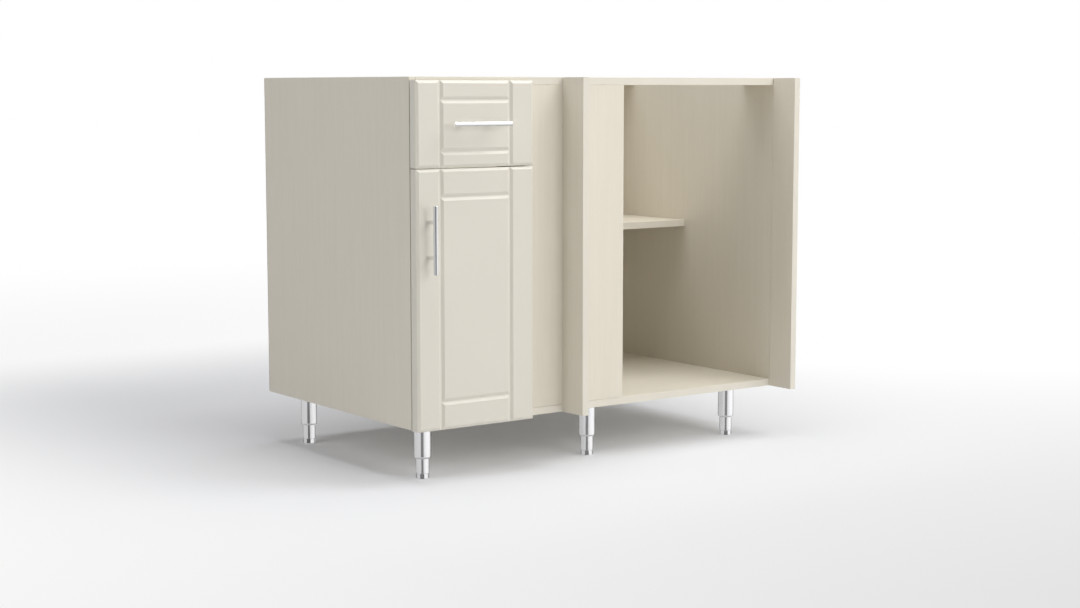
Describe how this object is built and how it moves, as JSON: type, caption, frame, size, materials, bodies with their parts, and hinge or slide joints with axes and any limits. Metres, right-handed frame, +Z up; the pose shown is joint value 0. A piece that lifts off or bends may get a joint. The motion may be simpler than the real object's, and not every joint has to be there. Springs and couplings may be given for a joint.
{
  "type": "blind corner base cabinet",
  "caption": "Blind corner base kitchen cabinet: drawer over a hinged door, blind panel with a projecting corner strip, open corner bay with a shelf, levelling legs.",
  "frame": {"origin": "on the floor, under the middle of the whole cabinet's box", "axes": "+X to the right along the front, +Y from the front to the wall, +Z up"},
  "size_m": [1.01, 0.691, 0.8365],
  "materials": {
    "melamine_board": "satin cream melamine on particleboard",
    "moulded_front": "satin cream foil over moulded fibreboard",
    "hardboard": "lacquered hardboard",
    "polished_chrome": "polished chrome plate",
    "zinc_steel": "zinc plated steel",
    "beech": "plain beech",
    "bumper_plastic": "translucent soft plastic"
  },
  "bodies": {
    "cabinet": {"back_left_leg": "polished_chrome", "back_middle_leg": "polished_chrome", "back_panel": "hardboard", "back_right_leg": "polished_chrome", "back_top_rail": "melamine_board", "blind_panel": "melamine_board", "bottom_panel": "melamine_board", "cam_bolts": "zinc_steel", "cam_discs": "zinc_steel", "chipboard_screws": "zinc_steel", "corner_strip": "melamine_board", "dowels": "beech", "drawer_partition": "melamine_board", "front_left_leg": "polished_chrome", "front_middle_leg": "polished_chrome", "front_right_leg": "polished_chrome", "front_top_rail": "melamine_board", "hinge_stile": "melamine_board", "left_runner_cabinet_member": "zinc_steel", "left_side_panel": "melamine_board", "lower_hinge_arm": "zinc_steel", "lower_hinge_plate": "zinc_steel", "right_extension_strip": "melamine_board", "right_runner_cabinet_member": "zinc_steel", "right_side_panel": "melamine_board", "shelf": "melamine_board", "shelf_pins": "zinc_steel", "upper_hinge_arm": "zinc_steel", "upper_hinge_plate": "zinc_steel"},
    "drawer": {"drawer_front": "moulded_front", "drawer_left_side": "melamine_board", "drawer_right_side": "melamine_board", "drawer_inner_front": "melamine_board", "drawer_back": "melamine_board", "drawer_bottom": "hardboard", "drawer_handle_bar": "polished_chrome", "drawer_handle_posts": "polished_chrome", "drawer_handle_screws": "zinc_steel", "drawer_screws": "zinc_steel", "left_runner_drawer_member": "zinc_steel", "right_runner_drawer_member": "zinc_steel"},
    "runner_middles": {"left_runner_middle_member": "zinc_steel", "right_runner_middle_member": "zinc_steel"},
    "outer_bearings": {"runner_outer_bearings": "zinc_steel"},
    "inner_bearings": {"runner_inner_bearings": "zinc_steel"},
    "door": {"door_panel": "moulded_front", "door_handle_bar": "polished_chrome", "door_handle_posts": "polished_chrome", "door_handle_screws": "zinc_steel", "lower_hinge_cup": "zinc_steel", "upper_hinge_cup": "zinc_steel", "hinge_pins": "zinc_steel", "hinge_cup_screws": "zinc_steel", "door_bumpers": "bumper_plastic"},
    "back_left_foot_body": {"back_left_foot": "polished_chrome"},
    "back_middle_foot_body": {"back_middle_foot": "polished_chrome"},
    "back_right_foot_body": {"back_right_foot": "polished_chrome"},
    "front_left_foot_body": {"front_left_foot": "polished_chrome"},
    "front_middle_foot_body": {"front_middle_foot": "polished_chrome"},
    "front_right_foot_body": {"front_right_foot": "polished_chrome"}
  },
  "joints": [
    {"name": "drawer_slide", "type": "slide", "parent": "cabinet", "child": "drawer", "axis": [0, -1, 0], "range_m": [0, 0.45]},
    {"name": "runner_middle_slide", "type": "slide", "parent": "cabinet", "child": "runner_middles", "axis": [0, -1, 0], "range_m": [0, 0.225]},
    {"name": "outer_bearing_slide", "type": "slide", "parent": "cabinet", "child": "outer_bearings", "axis": [0, -1, 0], "range_m": [0, 0.1125]},
    {"name": "inner_bearing_slide", "type": "slide", "parent": "cabinet", "child": "inner_bearings", "axis": [0, -1, 0], "range_m": [0, 0.3375]},
    {"name": "door_hinge", "type": "hinge", "parent": "cabinet", "child": "door", "pos_m": [-0.2201, -0.2847, 0.38225], "axis": [0, 0, 1], "range_deg": [0, 100]},
    {"name": "back_left_levelling", "type": "slide", "parent": "cabinet", "child": "back_left_foot_body", "axis": [0, 0, -1], "range_m": [0, 0.02]},
    {"name": "back_middle_levelling", "type": "slide", "parent": "cabinet", "child": "back_middle_foot_body", "axis": [0, 0, -1], "range_m": [0, 0.02]},
    {"name": "back_right_levelling", "type": "slide", "parent": "cabinet", "child": "back_right_foot_body", "axis": [0, 0, -1], "range_m": [0, 0.02]},
    {"name": "front_left_levelling", "type": "slide", "parent": "cabinet", "child": "front_left_foot_body", "axis": [0, 0, -1], "range_m": [0, 0.02]},
    {"name": "front_middle_levelling", "type": "slide", "parent": "cabinet", "child": "front_middle_foot_body", "axis": [0, 0, -1], "range_m": [0, 0.02]},
    {"name": "front_right_levelling", "type": "slide", "parent": "cabinet", "child": "front_right_foot_body", "axis": [0, 0, -1], "range_m": [0, 0.02]}
  ],
  "couplings": [
    {"joint": "runner_middle_slide", "follows": "drawer_slide", "ratio": 0.5},
    {"joint": "outer_bearing_slide", "follows": "drawer_slide", "ratio": 0.25},
    {"joint": "inner_bearing_slide", "follows": "drawer_slide", "ratio": 0.75}
  ]
}
